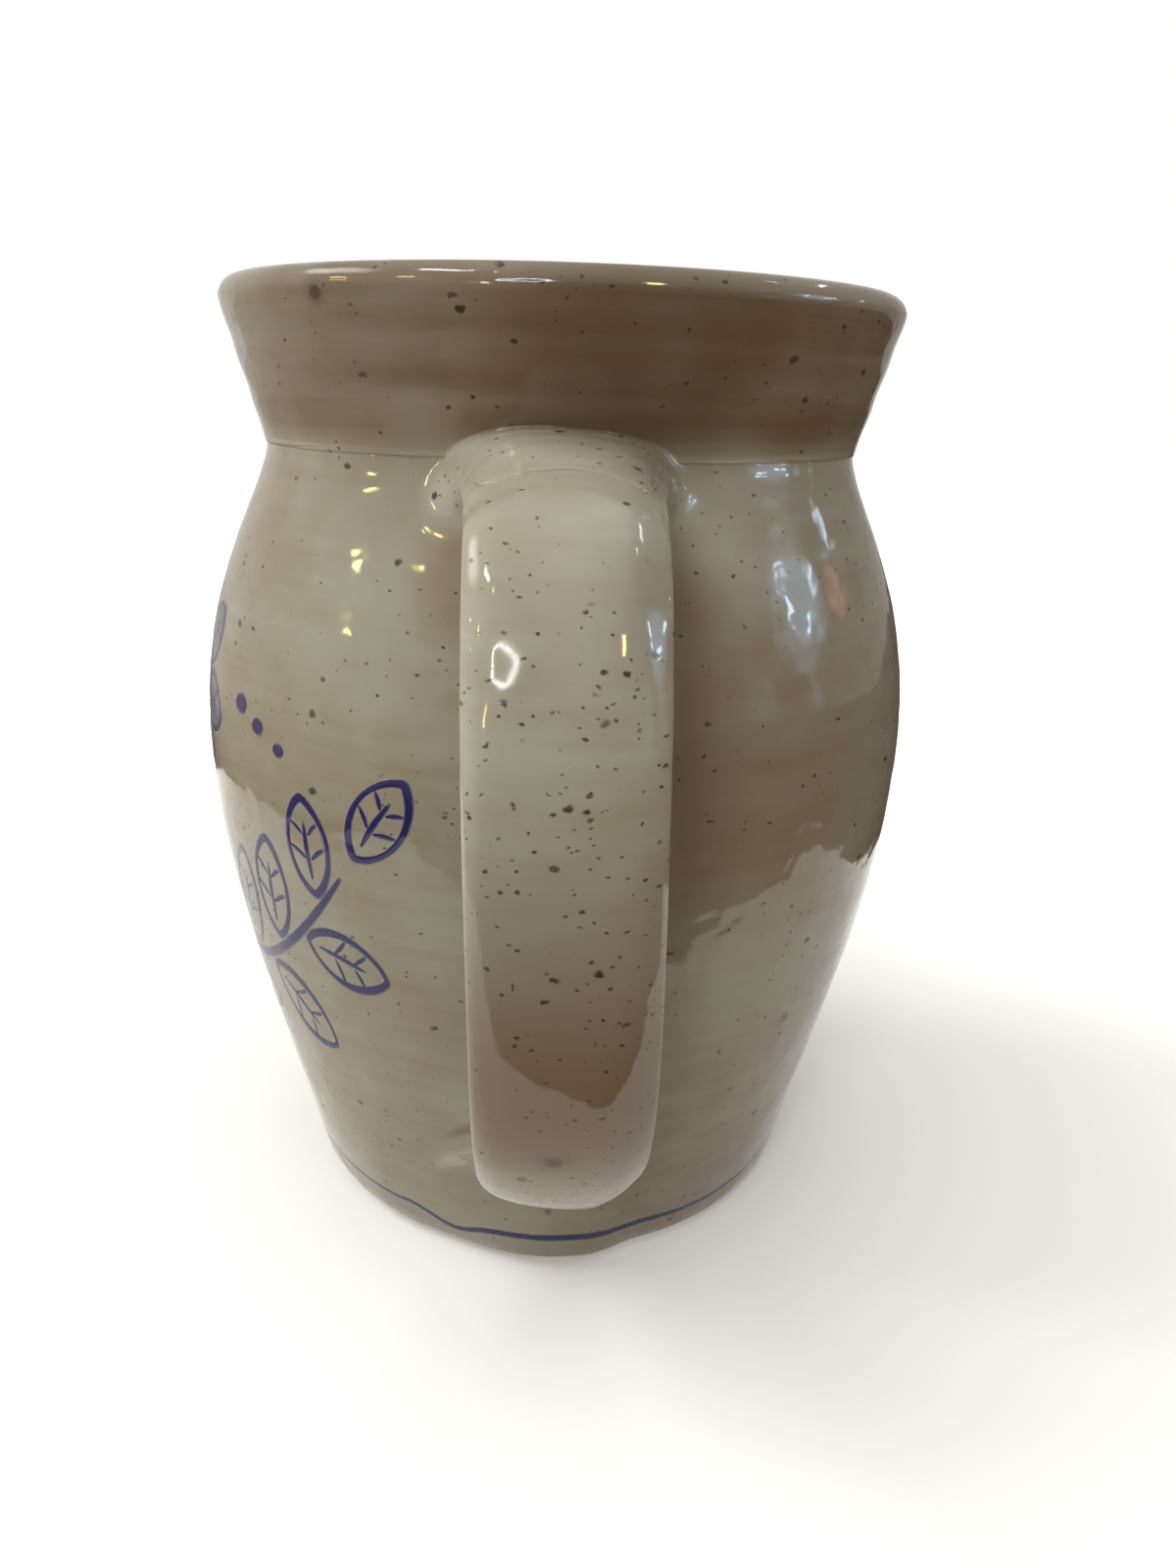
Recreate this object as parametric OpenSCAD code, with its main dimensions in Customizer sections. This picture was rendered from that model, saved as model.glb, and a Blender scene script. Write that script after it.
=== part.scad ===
// Stoneware pitcher: a thrown body, a flared collar with a pulled spout, a pulled strap handle
// luted on with two coils of clay, a poured glaze lining and brushed cobalt decoration.
// Millimetres, +Z up. The origin is the middle of the flat base. The handle points to -Y
// and the spout to +Y.

/* [Body] */
// Height of the lip above the table
pitcher_h = 186; // [180:1:192]
// Diameter of the flat base
foot_d = 97; // [90:1:104]
// Diameter at the top of the rounded heel
heel_d = 106.4; // [105:0.2:112]
// Height of the rounded heel
heel_h = 6; // [5:0.5:8]
// Diameter of the belly
belly_d = 144.5; // [136:0.5:150]
// Height of the widest part of the belly
belly_z = 102; // [96:1:108]
// Diameter of the neck at the seam under the collar
neck_d = 116.6; // [110:0.2:120]
// Height of the seam under the collar
neck_z = 157; // [154:1:160]
// Thickness of the wall
wall = 6; // [5:0.5:7]
// Thickness of the floor
floor_t = 8; // [7:0.5:10]
// Radius of the corner between floor and wall inside
corner_r = 12; // [8:1:16]

/* [Collar and spout] */
// Diameter over the rim
rim_d = 131.8; // [128:0.2:136]
// Thickness of the rounded lip
lip_t = 7; // [6:0.2:8]
// How far the collar's lower edge stands out from the neck
seam_ledge = 0.4; // [0:0.1:0.8]
// How far the spout is pulled out past the rim
spout_reach = 15; // [8:1:18]
// Half angle of the spout
spout_half_angle = 19; // [15:1:24]
// How far the rim is pressed in at each side of the spout
spout_pinch = 2.5; // [0:0.5:3]

/* [Handle] */
// Width of the strap at its top end, without the flare
strap_w = 28.4; // [26:0.2:30]
// Width of the strap at its lower end
strap_low_w = 26.8; // [24:0.2:29]
// How much further each edge spreads at the neck
strap_flare = 3.5; // [2:0.5:5]
// Thickness of the strap at its top end
strap_t = 10.5; // [9:0.5:12]
// Thickness of the strap at its lower end
strap_low_t = 8.5; // [7:0.5:10]
// Distance from the pitcher's axis to the middle of the strap where it stands out furthest
strap_out = 104.5; // [102:0.5:108]
// Height of that point
strap_out_z = 108; // [100:1:114]
// Height of the upper end at the neck
root_z = 155; // [153:0.5:157]
// Height of the lower end at the wall
tail_z = 25; // [22:0.5:28]
// Exponent of the section's rounded outline, 2 being an ellipse
strap_squareness = 2.8; // [2.2:0.1:3.4]

/* [Clay coils] */
// How far the coil round the upper end spreads over the wall to each side
root_coil_side = 5; // [3:0.5:7]
// How far it spreads up and down
root_coil_height = 2; // [1.5:0.5:4]
// How far the coil round the lower end spreads over the wall to each side
tail_coil_side = 4; // [3:0.5:6]
// How far it spreads up and down
tail_coil_height = 3; // [2:0.5:4]
// Thickness of a coil where it runs out along the strap
coil_edge = 0.6; // [0.4:0.1:1]

/* [Glaze and cobalt] */
// Thickness of the glaze poured over the inside
glaze_t = 0.8; // [0.5:0.1:1]
// How far a brushed line of cobalt stands out from the wall
cobalt_t = 0.3; // [0.2:0.05:0.4]
// Height of the cobalt band above the table
band_z = 7.3; // [6:0.1:10]
// Width of the cobalt band
band_w = 1.5; // [1:0.1:2]
// Width of a brushed cobalt line
line_w = 2; // [1.5:0.1:2.1]
// Angle round from the handle to the middle of the sprig
sprig_turn = 80; // [70:1:100]
// Height of the flower's middle
flower_z = 112; // [108:1:116]
// Number of petals
petals = 7; // [5:2:9]
// Number of leaves on each branch
branch_leaves = 5; // [4:1:5]
// Length of a branch's largest leaf
leaf_l = 23; // [20:1:24]
// Width of that leaf
leaf_w = 12; // [11:0.5:12.5]

/* [Hidden] */

stoneware = "#9a917f";
warm_stoneware = "#8d7f6c";
lining = "#a49d8c";
cobalt = "#2f3160";

round_sides = 128;
curve_steps = 20;
collar_sides = 72;
path_steps = 18;
flare_stations = 13;
section_sides = 20;
coil_steps = 8;

foot_r = foot_d / 2;
heel_r = heel_d / 2;
belly_r = belly_d / 2;
neck_r = neck_d / 2;
rim_r = rim_d / 2;
lip_r = lip_t / 2;
lip_z = pitcher_h - lip_r;
collar_h = pitcher_h - neck_z;
inside_neck_r = neck_r - wall;
inside_corner_z = floor_t + corner_r;

// How straight each stretch of the wall stands at its ends, as shares of its height
lower_wall_pull = 0.33;
shoulder_pull = 0.55;
neck_pull = 0.15;
// How much the wall leans out as it leaves the heel
heel_lean = 0.25;

// Curves in the plane of the section, as points of radius and height

function bezier(p, t) =
    pow(1 - t, 3) * p[0] + 3 * pow(1 - t, 2) * t * p[1] + 3 * (1 - t) * t * t * p[2] + pow(t, 3) * p[3];
function bezier_points(p, steps) = [for (i = [0:steps]) bezier(p, i / steps)];
function mix(a, b, share) = a + (b - a) * share;
function clamp01(x) = max(0, min(1, x));
function without_first(list) = [for (i = [1:len(list) - 1]) list[i]];
function reversed(list) = [for (i = [len(list) - 1:-1:0]) list[i]];
function arc_points(centre, r, from, to, steps) =
    [for (i = [0:steps]) centre + r * [cos(mix(from, to, i / steps)), sin(mix(from, to, i / steps))]];

heel_curve = [
    [foot_r, 0],
    [mix(foot_r, heel_r, 0.6), 0.07 * heel_h],
    [heel_r - 0.6, 0.58 * heel_h],
    [heel_r, heel_h]
];
lower_pull = lower_wall_pull * (belly_z - heel_h);
lower_curve = [
    [heel_r, heel_h],
    [heel_r + heel_lean * lower_pull, heel_h + lower_pull],
    [belly_r, belly_z - lower_pull],
    [belly_r, belly_z]
];
shoulder_h = neck_z - belly_z;
shoulder_curve = [
    [belly_r, belly_z],
    [belly_r, belly_z + shoulder_pull * shoulder_h],
    [neck_r, neck_z - neck_pull * shoulder_h],
    [neck_r, neck_z]
];
wall_outline = concat(
    bezier_points(heel_curve, 8),
    without_first(bezier_points(lower_curve, curve_steps)),
    without_first(bezier_points(shoulder_curve, curve_steps))
);
wall_table = [for (p = wall_outline) [p[1], p[0]]];
// Radius of the outside of the wall at a height
function wall_r(z) = lookup(z, wall_table);

// The inside of the wall, from the middle of the floor up to the seam, set in by a coat
function inside_outline(coat) = concat(
    [[0, floor_t + coat]],
    arc_points([wall_r(inside_corner_z) - wall - corner_r, inside_corner_z], corner_r - coat, -90, 0, 8),
    [for (p = wall_outline) if (p[1] > inside_corner_z + 1) [p[0] - wall - coat, p[1]]]
);

collar_outer = [
    [neck_r + seam_ledge, neck_z],
    [neck_r + 1.3, neck_z + 0.14 * collar_h],
    [rim_r - 1, neck_z + 0.64 * collar_h],
    [rim_r, lip_z]
];
collar_inner = [
    [rim_r - lip_t, lip_z],
    [rim_r - lip_t - 1, neck_z + 0.64 * collar_h],
    [inside_neck_r + 1.3, neck_z + 0.14 * collar_h],
    [inside_neck_r, neck_z]
];
collar_outline = bezier_points(collar_outer, 10);
collar_section = concat(
    collar_outline,
    without_first(arc_points([rim_r - lip_r, lip_z], lip_r, 0, 180, 8)),
    without_first(bezier_points(collar_inner, 8))
);

// The spout: the collar is drawn out at the front and pressed in a little on both sides of it

function spout_share(z) = pow(clamp01((z - neck_z) / collar_h), 2);
function spout_pull(turn) = exp(-pow(abs(turn) / spout_half_angle, 1.6));
function spout_press(turn) = exp(-pow((abs(turn) - 2.2 * spout_half_angle) / (0.9 * spout_half_angle), 2));
function spout_shift(turn) = spout_reach * spout_pull(turn) - spout_pinch * spout_press(turn);
// A point of the collar's section turned from the front, with the spout drawn out
function collar_point(p, turn) =
    let (r = p[0] + spout_share(p[1]) * spout_shift(turn)) [r * sin(turn), r * cos(turn), p[1]];

// The handle: a rounded section swept along a path in the plane of the handle and the axis

path_start_r = inside_neck_r + 1.5;
path_end_r = wall_r(tail_z) - 4.5;
upper_path = [
    [path_start_r, root_z],
    [strap_out - 19.5, root_z - 1.5],
    [strap_out + 1.5, root_z - 6.5],
    [strap_out, strap_out_z]
];
lower_path = [
    [strap_out, strap_out_z],
    [strap_out, strap_out_z - 51],
    [strap_out - 9.5, tail_z + 14],
    [path_end_r, tail_z]
];
handle_path = concat(
    bezier_points(upper_path, path_steps),
    without_first(bezier_points(lower_path, path_steps))
);
last_station = len(handle_path) - 1;
function path_direction(i) =
    let (d = handle_path[min(i + 1, last_station)] - handle_path[max(i - 1, 0)]) d / norm(d);
// Square to the path, away from the pitcher
function path_normal(i) = let (d = path_direction(i)) [-d[1], d[0]];
function signed_power(x, e) = sign(x) * pow(abs(x), e);
// How far each edge is spread at a station by the flare towards the neck
function flare(i) = strap_flare * pow(max(0, 1 - i / flare_stations), 3);
// The section at a station of the path, grown by a margin [across, through]
function handle_ring(i, margin) = let (
    share = i / last_station,
    half_w = mix(strap_w, strap_low_w, share) / 2 + flare(i) + margin[0],
    half_t = mix(strap_t, strap_low_t, share) / 2 + margin[1],
    out = path_normal(i),
    e = 2 / strap_squareness
) [for (k = [0:section_sides - 1]) let (
        a = 360 * k / section_sides,
        across = half_w * signed_power(cos(a), e),
        through = half_t * signed_power(sin(a), e),
        p = handle_path[i] + through * out
    ) [across, -p[0], p[1]]];

// The section between two stations, on the straight line from one to the next
function ring_between(t, margin) = let (i = floor(t), share = t - i)
    share == 0 ? handle_ring(i, margin) : mix(handle_ring(i, margin), handle_ring(i + 1, margin), share);

// How far a coil stands out from the strap, from the wall to its far edge
function coil_margin(share, spread) = [coil_edge, coil_edge] + spread * pow(1 - share, 2);

// Cobalt lines: points of the unrolled wall are a distance round from the sprig's middle,
// positive towards the handle, and a height

function wall_point(p, lift) = let (
    turn = sprig_turn - p[0] / belly_r * 180 / PI,
    r = wall_r(p[1]) + lift
) [-r * sin(turn), -r * cos(turn), p[1]];
function line_side(points, i, closed) = let (
    n = len(points),
    a = closed ? points[(i + n - 1) % n] : points[max(i - 1, 0)],
    b = closed ? points[(i + 1) % n] : points[min(i + 1, n - 1)],
    d = [b[0] - a[0], b[1] - a[1]]
) [-d[1], d[0]] / norm(d);
function turned(p, angle) = [p[0] * cos(angle) - p[1] * sin(angle), p[0] * sin(angle) + p[1] * cos(angle)];
function curve2(a, b, c, t) = pow(1 - t, 2) * a + 2 * (1 - t) * t * b + t * t * c;

leaf_round = 20;
leaf_point = 0.45;
// Outline of a leaf from its base at [0, 0] to its tip at [length, 0]
function leaf_outline(length, width) = [for (k = [0:leaf_round - 1]) let (a = 360 * k / leaf_round)
    [length / 2 * (1 - cos(a)), width / 2 * sin(a) * pow(abs(sin(a)), leaf_point)]];
// Half the leaf's width at a distance from its base
function leaf_half(length, width, x) = width / 2 * pow(1 - pow(1 - 2 * x / length, 2), (1 + leaf_point) / 2);
function placed(points, at, angle) = [for (p = points) at + turned(p, angle)];

stem_foot = [-3, 46];
branch_foot = [-2, 56];
branch_bend = [36, 52];
branch_tip = [62, 88];
// Point of the branch on one side, 1 being the side of the handle and -1 the far one
function branch_at(t, side) = let (p = curve2(branch_foot, branch_bend, branch_tip, t)) [side * p[0], p[1]];
function branch_angle(t, side) =
    let (d = branch_at(t + 0.02, side) - branch_at(t - 0.02, side)) atan2(d[1], d[0]);

// Shapes that repeat

// Closed skin over rings of points that have one count
module skin(rings) {
    n = len(rings[0]);
    last = len(rings) - 1;
    points = [for (r = rings) each r];
    sides = [for (i = [0:last - 1], k = [0:n - 1]) let (
        a = i * n + k,
        b = i * n + (k + 1) % n
    ) each [[a, b + n, b], [a, a + n, b + n]]];
    caps = [[for (k = [0:n - 1]) k], [for (k = [n - 1:-1:0]) last * n + k]];
    polyhedron(points, concat(sides, caps), convexity = 6);
}

// Closed skin over rings that follow each other round, the last one joined to the first
module loop_skin(rings) {
    n = len(rings[0]);
    count = len(rings);
    points = [for (r = rings) each r];
    sides = [for (i = [0:count - 1], k = [0:n - 1]) let (
        a = i * n + k,
        b = i * n + (k + 1) % n,
        c = ((i + 1) % count) * n + (k + 1) % n,
        d = ((i + 1) % count) * n + k
    ) each [[a, c, b], [a, d, c]]];
    polyhedron(points, sides, convexity = 6);
}

// Section of a brushed line at a point of its middle: lower right, lower left, upper left, upper right
function line_ring(points, i, half_w, closed) = let (
    p = [points[i][0], points[i][1]],
    side = line_side(points, i, closed) * half_w
) [
    wall_point(p - side, 0),
    wall_point(p + side, 0),
    wall_point(p + side, cobalt_t),
    wall_point(p - side, cobalt_t)
];

// Line that swells from a fine start to its full width and runs out again
module brushed_line(points, width) {
    last = len(points) - 1;
    skin([for (i = [0:last]) line_ring(points, i, width / 2 * (0.35 + 0.65 * sin(180 * i / last)), false)]);
}

module brushed_loop(points, width) {
    loop_skin([for (i = [0:len(points) - 1]) line_ring(points, i, width / 2, true)]);
}

module brushed_dot(at, r) {
    sides = 14;
    ring = [for (k = [0:sides - 1]) at + r * [cos(360 * k / sides), sin(360 * k / sides)]];
    skin([[for (p = ring) wall_point(p, 0)], [for (p = ring) wall_point(p, cobalt_t)]]);
}

// Leaf drawn as an outline, a midrib and veins, with bare clay left between the lines
module brushed_leaf(at, angle, length, width, veins) {
    brushed_loop(placed(leaf_outline(length, width), at, angle), 0.75 * line_w);
    brushed_line(placed([for (i = [0:5]) [length * (0.16 + 0.12 * i), 0]], at, angle), 0.7 * line_w);
    for (side = [-1, 1], v = [1:veins]) {
        start = [length * (0.12 + 0.42 * v / veins), 0.8 * line_w];
        end_x = start[0] + 0.1 * length;
        end = [end_x, leaf_half(length, width, end_x) - 0.85 * line_w];
        vein = [for (i = [0:3]) let (p = mix(start, end, i / 3)) [p[0], side * p[1]]];
        brushed_line(placed(vein, at, angle), 0.5 * line_w);
    }
}

// The outside of the body and the collar as one filled solid, which the clay joints are cut to
module vessel_core() {
    outside = concat(wall_outline, collar_outline, [[rim_r, pitcher_h], [0, pitcher_h], [0, 0]]);
    rotate_extrude($fn = round_sides) polygon(outside);
}

// Coil round the strap over a run of the path in half steps, from a station inside the wall
module strap_coil(first, direction, spread) {
    stations = [for (i = [0:coil_steps]) first + direction * i / 2];
    rings = concat(
        [for (i = [0:coil_steps]) ring_between(stations[i], coil_margin(i / coil_steps, spread))],
        [for (i = [coil_steps:-1:0]) ring_between(stations[i], [0, 0])]
    );
    loop_skin(direction > 0 ? rings : reversed(rings));
}

// Sub-parts

module body() {
    section = concat(wall_outline, reversed(inside_outline(0)), [[0, 0]]);
    color(stoneware) rotate_extrude($fn = round_sides) polygon(section);
}

module collar() {
    turns = [for (j = [0:collar_sides - 1]) 360 * j / collar_sides - 180];
    rings = [for (turn = turns) [for (p = collar_section) collar_point(p, turn)]];
    color(warm_stoneware) loop_skin(rings);
}

module handle() {
    color(stoneware) difference() {
        skin([for (i = [0:last_station]) handle_ring(i, [0, 0])]);
        vessel_core();
    }
}

module root_coil() {
    color(stoneware) difference() {
        strap_coil(0, 1, [root_coil_side, root_coil_height]);
        vessel_core();
    }
}

module tail_coil() {
    color(stoneware) difference() {
        strap_coil(last_station, -1, [tail_coil_side, tail_coil_height]);
        vessel_core();
    }
}

module inner_glaze() {
    color(lining) rotate_extrude($fn = round_sides)
        polygon(concat(inside_outline(0), reversed(inside_outline(glaze_t))));
}

module cobalt_band() {
    low = band_z - band_w / 2;
    high = band_z + band_w / 2;
    heights = concat([low], [for (p = wall_outline) if (p[1] > low && p[1] < high) p[1]], [high]);
    section = concat(
        [for (z = heights) [wall_r(z), z]],
        [for (z = reversed(heights)) [wall_r(z) + cobalt_t, z]]
    );
    color(cobalt) rotate_extrude($fn = round_sides) polygon(section);
}

module cobalt_sprig() {
    color(cobalt) {
        flower();
        stem();
        for (side = [-1, 1]) branch(side);
    }
}

module flower() {
    middle = [0, flower_z];
    petal_l = 15.5;
    petal_w = 24 * sin(180 / petals);
    brushed_dot(middle, 2.6);
    brushed_loop([for (k = [0:15]) middle + 5 * [cos(22.5 * k), sin(22.5 * k)]], 0.8 * line_w);
    for (k = [0:petals - 1]) {
        angle = 90 + 360 * k / petals;
        brushed_leaf(middle + turned([7, 0], angle), angle, petal_l, petal_w, 1);
    }
}

module stem() {
    top = [0, flower_z - 19];
    brushed_line([for (i = [0:12]) curve2(top, [5, 66], stem_foot, i / 12)], line_w);
    for (side = [-1, 1])
        brushed_leaf(stem_foot + [side * 2.5, -1], side > 0 ? 8 : 172, leaf_l + 2, leaf_w - 2, 2);
}

// One of the two branches, with leaves on both sides, a leaf at its tip and berries above
module branch(side) {
    brushed_line([for (i = [0:14]) branch_at(0.07 + 0.89 * i / 14, side)], line_w);
    for (k = [0:branch_leaves - 1]) {
        share = k / branch_leaves;
        up = k % 2 == 0 ? 1 : -1;
        t = 0.3 + 0.68 * share;
        angle = branch_angle(t, side) + side * up * (60 - 14 * share);
        base = branch_at(t, side) + turned([2.8, 0], angle);
        brushed_leaf(base, angle, leaf_l - 6 * share, leaf_w - 2.5 * share, 2);
    }
    tip_angle = branch_angle(1, side);
    brushed_leaf(branch_at(1, side) + turned([2.5, 0], tip_angle), tip_angle, leaf_l - 5, leaf_w - 2, 2);
    for (k = [0:2]) brushed_dot([side * (33 + 6.5 * k), 112 - 3 * k], 2.3 - 0.35 * k);
}

body();
collar();
handle();
root_coil();
tail_coil();
inner_glaze();
cobalt_band();
cobalt_sprig();
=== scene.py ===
"""Visual model of a stoneware pitcher: glazed clay, a luted strap handle and brushed cobalt lines.

Lengths are in millimetres until a mesh is made. Angles round the pot start at the handle (-Y)
and grow towards the side with the sprig (-X), so the spout is at half a turn.
"""
import math

import bpy
import numpy as np
from mathutils import Matrix, Vector


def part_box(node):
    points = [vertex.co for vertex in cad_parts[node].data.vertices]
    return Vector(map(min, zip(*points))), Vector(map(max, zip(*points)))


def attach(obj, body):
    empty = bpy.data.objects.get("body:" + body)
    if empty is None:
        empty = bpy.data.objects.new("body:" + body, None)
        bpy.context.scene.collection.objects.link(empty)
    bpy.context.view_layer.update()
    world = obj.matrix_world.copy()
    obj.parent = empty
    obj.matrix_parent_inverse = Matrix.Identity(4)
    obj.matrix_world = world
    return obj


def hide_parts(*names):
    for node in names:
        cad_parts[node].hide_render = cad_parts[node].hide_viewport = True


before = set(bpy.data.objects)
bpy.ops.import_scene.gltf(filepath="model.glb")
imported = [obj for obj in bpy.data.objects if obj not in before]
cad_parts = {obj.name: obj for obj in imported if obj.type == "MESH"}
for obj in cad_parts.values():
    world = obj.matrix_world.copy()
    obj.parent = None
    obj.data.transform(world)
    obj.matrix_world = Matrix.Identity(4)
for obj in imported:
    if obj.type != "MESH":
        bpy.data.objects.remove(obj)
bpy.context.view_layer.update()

MM = 0.001
TURN = 2 * math.pi

# Sizes of the body, read from the frame where a node's box gives them
NECK_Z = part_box("body")[1].z / MM
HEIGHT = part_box("collar")[1].z / MM
RIM_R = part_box("collar")[1].x / MM
FOOT_R = 48.5
HEEL_R = 53.2
HEEL_H = 6.0
BELLY_R = 72.25
BELLY_Z = 102.0
NECK_R = 58.3
WALL = 6.0
FLOOR_T = 8.0
CORNER_R = 12.0
LINING_T = 0.8
LIP_R = 3.5
SPOUT_REACH = 15.0
SPOUT_HALF_ANGLE = math.radians(19)
SPOUT_PINCH = 2.5

# Sizes of the strap: half widths, half thicknesses and shifts to the right at neck and foot, and its bow
STRAP_HALF_W = (14.0, 13.4)
STRAP_HALF_T = (5.25, 4.3)
STRAP_LEAN = (-0.8, 0.45)
STRAP_BOW = 0.45
STRAP_OUT = 104.5
STRAP_OUT_Z = 108.0
STRAP_FLARE = 3.5
FLARE_LENGTH = 60.0
ROOT_Z = 155.0
TAIL_Z = 25.0

# Places and sizes of the cobalt
BAND_Z = 7.3
BAND_STEP = 1.7
SPRIG_TURN = math.radians(80)
FLOWER_Z = 112.0
LINE_W = 2.0
LEAF_L = 23.0
LEAF_W = 12.0


# Curves and grids

def bezier(points, count):
    t = np.linspace(0, 1, count)[:, None]
    a, b, c, d = (np.array(p, float) for p in points)
    return (1 - t) ** 3 * a + 3 * (1 - t) ** 2 * t * b + 3 * (1 - t) * t ** 2 * c + t ** 3 * d


def joined(*curves):
    """Curves that follow each other, with the shared end points kept once."""
    return np.vstack([curves[0]] + [c[1:] for c in curves[1:]])


def arc(centre, radius, start, end, count):
    a = np.radians(np.linspace(start, end, count))
    return np.column_stack([centre[0] + radius * np.cos(a), centre[1] + radius * np.sin(a)])


def evenly(points, step):
    """The same line with points about one step apart."""
    length = np.concatenate([[0], np.cumsum(np.linalg.norm(np.diff(points, axis=0), axis=1))])
    count = max(2, int(round(length[-1] / step)) + 1)
    at = np.linspace(0, length[-1], count)
    return np.column_stack([np.interp(at, length, points[:, i]) for i in range(points.shape[1])])


def smooth(x, low, high):
    t = np.clip((x - low) / (high - low), 0, 1)
    return t * t * (3 - 2 * t)


def hump(x, half_width):
    """1 at 0, and falling away on both sides."""
    return np.exp(-((x / half_width) ** 2))


def mix(a, b, share):
    return a + (b - a) * share


def from_handle(psi):
    """The same angle, between half a turn back and half a turn on from the handle."""
    return (psi + math.pi) % TURN - math.pi


def around(psi, radius, z):
    """Point at an angle round the axis, a distance from it and a height."""
    return np.stack(np.broadcast_arrays(-radius * np.sin(psi), -radius * np.cos(psi), z), axis=-1)


def grid_faces(rows, cols, close_rows=False):
    """Four-sided faces between rings of points; the last ring can join the first."""
    r = np.arange(rows if close_rows else rows - 1)[:, None]
    c = np.arange(cols)[None, :]
    up = (r + 1) % rows
    right = (c + 1) % cols
    corners = [r * cols + c, r * cols + right, up * cols + right, up * cols + c]
    return np.stack(corners, axis=-1).reshape(-1, 4)


def tube_faces(count, cols):
    """Faces of rings of points along a tube, with one face across each end."""
    ring = np.arange(cols)
    return [grid_faces(count, cols), ring[None, :], ((count - 1) * cols + ring[::-1])[None, :]]


def capped_rings(rings, cols, first_middle, last_middle):
    """Points and faces of rings of points, with a fan of triangles round a middle at each end."""
    points = np.vstack([r.reshape(-1, 3) for r in rings])
    total = len(points)
    last = total - cols
    ring = np.arange(cols)
    after = (ring + 1) % cols
    faces = [
        grid_faces(total // cols, cols),
        np.column_stack([after, ring, np.full(cols, total)]),
        np.column_stack([last + ring, last + after, np.full(cols, total + 1)]),
    ]
    return np.vstack([points, [first_middle, last_middle]]), faces


def signed_volume(points, faces):
    """Below 0 if the faces are inside out."""
    total = 0.0
    for face in faces:
        a = points[face[:, 0]]
        for i in range(1, face.shape[1] - 1):
            total += np.einsum("ij,ij->", a, np.cross(points[face[:, i]], points[face[:, i + 1]]))
    return total


def piece(name, points, faces, node, slot, material, **layers):
    """A smooth mesh that stands for a CAD node. faces is a list of arrays of point numbers,
    and each layer one value per point for the material to read."""
    if signed_volume(points, faces) < 0:
        faces = [f[:, ::-1] for f in faces]
    mesh = bpy.data.meshes.new(name)
    mesh.from_pydata((points * MM).tolist(), [], [q for f in faces for q in f.tolist()])
    mesh.shade_smooth()
    for key, values in layers.items():
        layer = mesh.attributes.new(key, "FLOAT", "POINT")
        layer.data.foreach_set("value", np.asarray(values, np.float32).reshape(-1))
    mesh.materials.append(material)
    obj = bpy.data.objects.new(name, mesh)
    bpy.context.scene.collection.objects.link(obj)
    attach(obj, "root")
    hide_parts(node)


# The wall of the body

HEEL_CURVE = [(FOOT_R, 0), (51.3, 0.42), (52.6, 3.5), (HEEL_R, HEEL_H)]
LOWER_CURVE = [(HEEL_R, HEEL_H), (HEEL_R + 7.9, 37.7), (BELLY_R, 70.3), (BELLY_R, BELLY_Z)]
SHOULDER_CURVE = [(BELLY_R, BELLY_Z), (BELLY_R, 132.2), (NECK_R, 148.8), (NECK_R, NECK_Z)]
WALL_LINE = joined(bezier(HEEL_CURVE, 40), bezier(LOWER_CURVE, 120), bezier(SHOULDER_CURVE, 120))

# The foot's push under the handle and the draw round it: depths, and angles and heights where they fade
HEEL_PUSH = 2.9
HEEL_PUSH_LEFT = (0, 0.5)
HEEL_PUSH_RIGHT = (0.11, 0.37)
HEEL_DRAW = 0.55
HEEL_DRAW_END = (0.95, 1.25)
HEEL_TOP = (2, 24)

# The base: how far its middle is hollowed, and the arcs of the wire round a point beside the pot
BASE_HOLLOW = 0.35
WIRE_DEPTH = 0.07
WIRE_PITCH = 3.4
WIRE_MIDDLE = (-150, -60)


def heel_bulge(psi, z):
    """The foot was pushed out under the handle, and drawn in a little round the push."""
    psi = from_handle(psi)
    left = 1 - smooth(psi, *HEEL_PUSH_LEFT)
    right = 1 - smooth(-psi, *HEEL_PUSH_RIGHT)
    push = HEEL_PUSH * np.where(psi > 0, left, right)
    drawn = HEEL_DRAW * (1 - smooth(np.abs(psi), *HEEL_DRAW_END))
    return (push - drawn) * (1 - smooth(z, *HEEL_TOP))


def thumb_mark(psi, z):
    """A thumb's ridge, where it wiped clay down beside the handle's lower end, and a crease above it."""
    psi = from_handle(psi)
    ridge_z = 28.3 - 34 * (psi - 0.25)
    crease_z = ridge_z + 6.2
    ridge = 1.2 * hump(z - ridge_z, 1.7) * (1 - smooth(psi, 0.3, 0.48))
    crease = 0.7 * hump(z - crease_z, 1.3) * (1 - smooth(psi, 0.28, 0.42))
    return (ridge - crease) * smooth(psi, 0.05, 0.2)


def waver(psi, z):
    """The unevenness that throwing leaves: rings, a pot slightly out of round, and soft dimples."""
    fine_rings = 0.015 * np.sin(TURN * z / 6.3 + 0.9 * np.sin(psi))
    broad_rings = 0.03 * np.sin(TURN * z / 14 + 1.7 - 0.8 * np.cos(psi + 0.6))
    lobes = 0.2 * np.sin(2 * psi + 0.7 + z / 60) + 0.12 * np.sin(3 * psi - z / 45)
    dimples = 0.05 * np.sin(15 * psi + z / 11) * np.sin(z / 5.5 - 5 * psi)
    return fine_rings + broad_rings + lobes + dimples


def wall_r(psi, z):
    """Radius of the outside of the body."""
    fade = smooth(z, 0, 8) * (1 - smooth(z, NECK_Z - 7, NECK_Z))
    worked = fade * waver(psi, z) + heel_bulge(psi, z) + thumb_mark(psi, z)
    return np.interp(z, WALL_LINE[:, 1], WALL_LINE[:, 0]) + worked


def columns(line):
    """Radii and heights of a line, each as a column."""
    return line[:, :1], line[:, 1:]


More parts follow.
